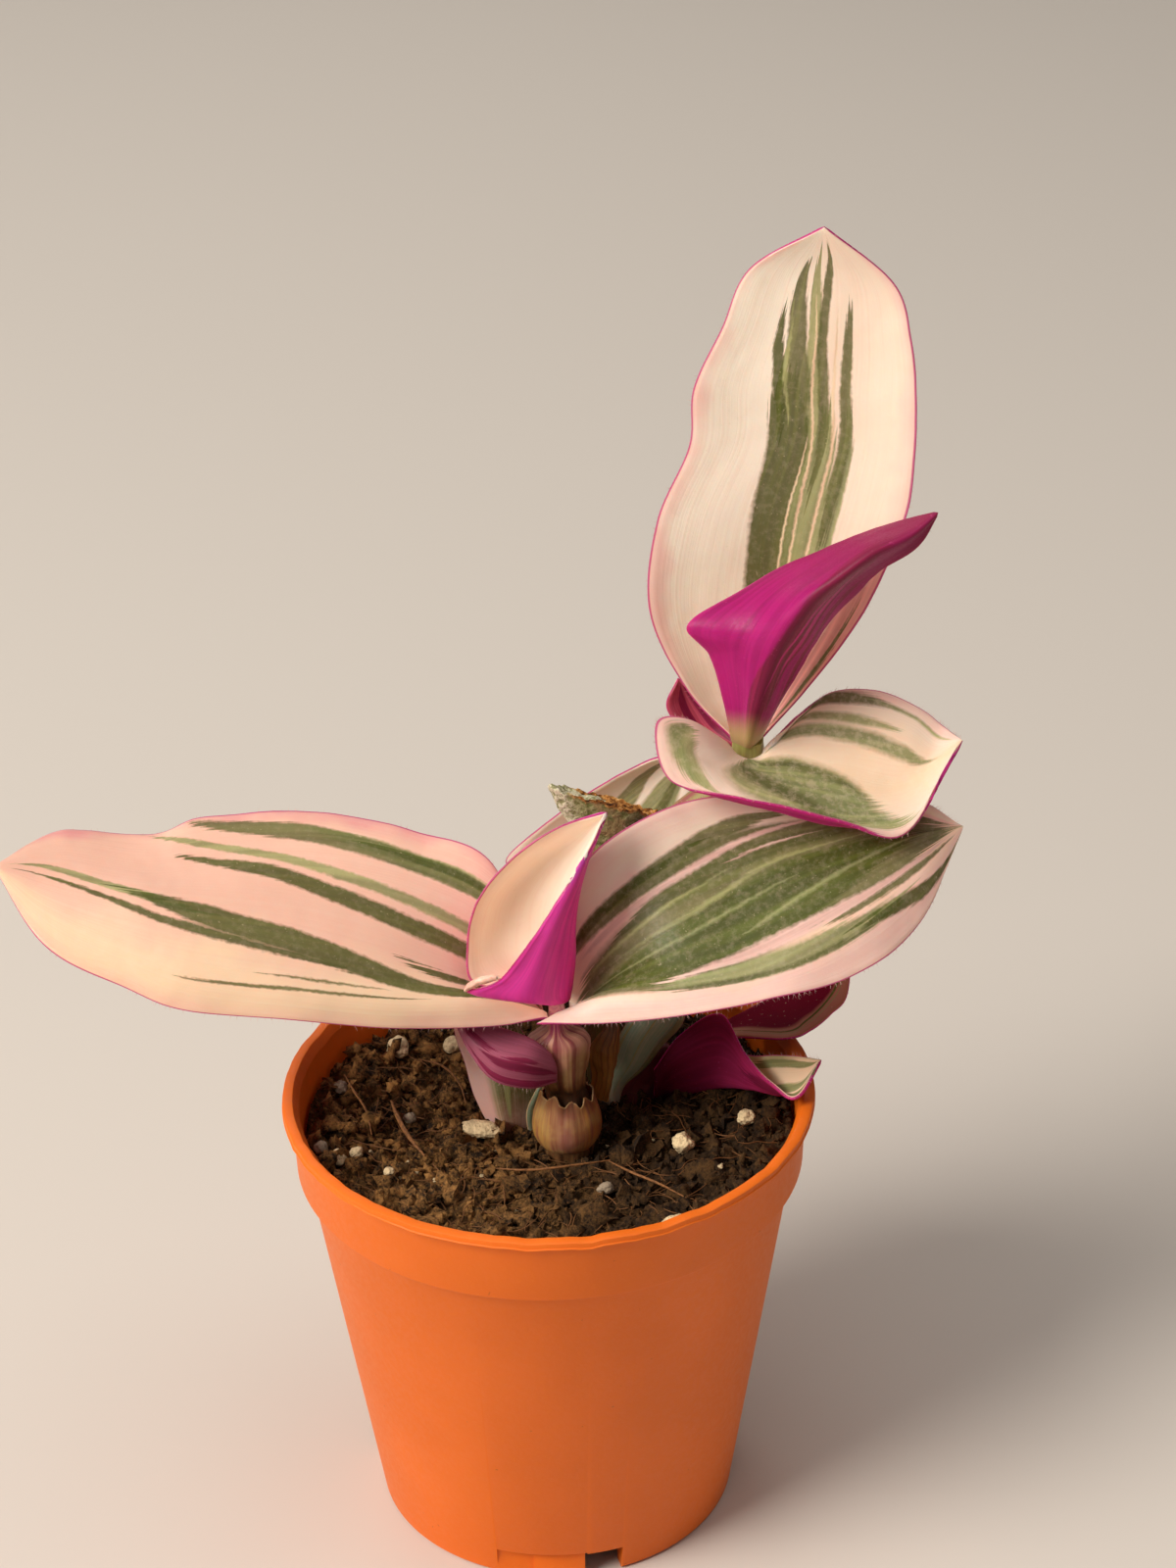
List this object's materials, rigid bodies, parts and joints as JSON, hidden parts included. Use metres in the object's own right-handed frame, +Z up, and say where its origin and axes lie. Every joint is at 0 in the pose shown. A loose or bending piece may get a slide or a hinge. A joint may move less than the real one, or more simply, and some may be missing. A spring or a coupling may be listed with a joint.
{
  "type": "potted tradescantia",
  "caption": "Young variegated tradescantia with cream, pink, green and magenta leaves on short shoots, growing in a small round plastic nursery pot filled with peat and perlite.",
  "frame": {"origin": "middle of the pot's foot, on the surface it stands on", "axes": "+Z up through the pot's axis, -Y towards the side that the plant shows best, +X towards the upright shoot"},
  "size_m": [0.1058, 0.06, 0.1481],
  "materials": {
    "pot_plastic": "satin moulded plastic with a fine grain",
    "peat": "crumbly damp peat",
    "perlite": "pitted white grain",
    "stone": "dull grey grain",
    "plant_fibre": "dry tan fibre",
    "variegated_leaf": "soft satin leaf, striped green on cream and pink, magenta underneath",
    "silver_leaf": "silvery green leaf",
    "stem": "fleshy stem, streaked purple",
    "dried_sheath": "dry papery brown"
  },
  "bodies": {
    "root": {"pot": "pot_plastic", "soil": "peat", "front_stem": "stem", "main_stem": "stem", "upper_shoot": "stem", "low_shoot": "stem", "dried_sheath": "dried_sheath", "side_blade": "silver_leaf", "silver_leaf": "silver_leaf", "tan_fibre": "plant_fibre", "left_leaf": "variegated_leaf", "right_leaf": "variegated_leaf", "centre_leaf": "variegated_leaf", "tall_leaf": "variegated_leaf", "young_leaf": "variegated_leaf", "crown_leaf": "variegated_leaf", "crown_back_leaf": "variegated_leaf", "back_leaf": "variegated_leaf", "lower_purple_leaf": "variegated_leaf", "lower_pale_leaf": "variegated_leaf", "edge_leaf": "variegated_leaf", "edge_back_leaf": "variegated_leaf", "perlite_1": "perlite", "perlite_2": "perlite", "perlite_3": "perlite", "perlite_4": "perlite", "perlite_5": "perlite", "perlite_6": "perlite", "perlite_7": "perlite", "perlite_8": "perlite", "perlite_9": "perlite", "stone_1": "stone", "stone_2": "stone", "stone_3": "stone", "stone_4": "stone"}
  },
  "joints": []
}
